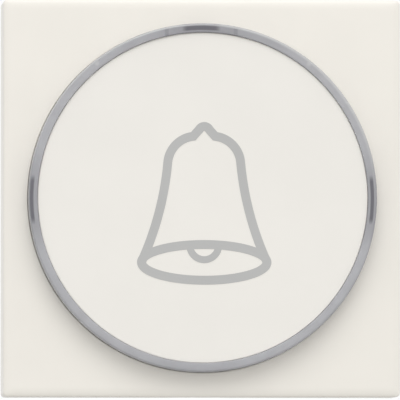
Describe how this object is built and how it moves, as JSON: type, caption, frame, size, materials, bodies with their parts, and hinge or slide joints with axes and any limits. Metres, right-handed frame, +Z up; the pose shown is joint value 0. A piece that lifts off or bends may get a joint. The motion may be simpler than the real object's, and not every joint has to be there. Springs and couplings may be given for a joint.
{
  "type": "doorbell push button",
  "caption": "Flush doorbell push button: square cover plate, large round bell-marked button in a lit clear ring, round body for a drilled hole.",
  "frame": {"origin": "centre of the housing flange's rear face, on the wall's surface, on the axis of the button", "axes": "+Z up the wall, +Y into the wall (the button faces -Y, and is pressed along +Y), +X to the right as seen by the visitor facing it"},
  "size_m": [0.045, 0.0324, 0.045],
  "materials": {
    "plate_cream": "satin moulded",
    "cap_cream": "satin moulded",
    "clear_smoke": "clear, lightly smoked",
    "sign_grey": "satin moulded",
    "inner_grey": "matt moulded",
    "housing_grey": "matt moulded",
    "cover_white": "matt moulded",
    "copper": "stamped copper alloy",
    "brass": "stamped",
    "terminal_brass": "machined",
    "silver": "silver contact faces",
    "spring_steel": "drawn wire",
    "screw_steel": "zinc plated",
    "pin_gold": "plated",
    "board": "white solder mask",
    "chip_black": "moulded",
    "amber": "clear lens"
  },
  "bodies": {
    "base": {"front_plate": "plate_cream", "return_spring": "spring_steel", "housing": "housing_grey", "mechanism_cover": "cover_white", "led_board": "board", "rectifier": "chip_black", "fixed_contact_left": "brass", "fixed_tip_left": "silver", "terminal_left": "terminal_brass", "clamp_screw_left": "screw_steel", "led_pin_left": "pin_gold", "fixed_contact_right": "brass", "fixed_tip_right": "silver", "terminal_right": "terminal_brass", "clamp_screw_right": "screw_steel", "led_pin_right": "pin_gold", "led_1": "amber", "led_2": "amber", "led_3": "amber", "led_4": "amber", "resistor_1": "chip_black", "resistor_2": "chip_black"},
    "button": {"button_cap": "cap_cream", "bell_symbol": "sign_grey", "light_ring": "clear_smoke", "plunger": "inner_grey", "contact_bridge": "copper", "bridge_tips": "silver", "bridge_spring": "spring_steel"}
  },
  "joints": [
    {"name": "button_press", "type": "slide", "parent": "base", "child": "button", "axis": [0, 1, 0], "range_m": [0, 0.0015], "stiffness_N_per_m": 1000, "springref_m": -0.002, "deforming": ["return_spring"]}
  ]
}
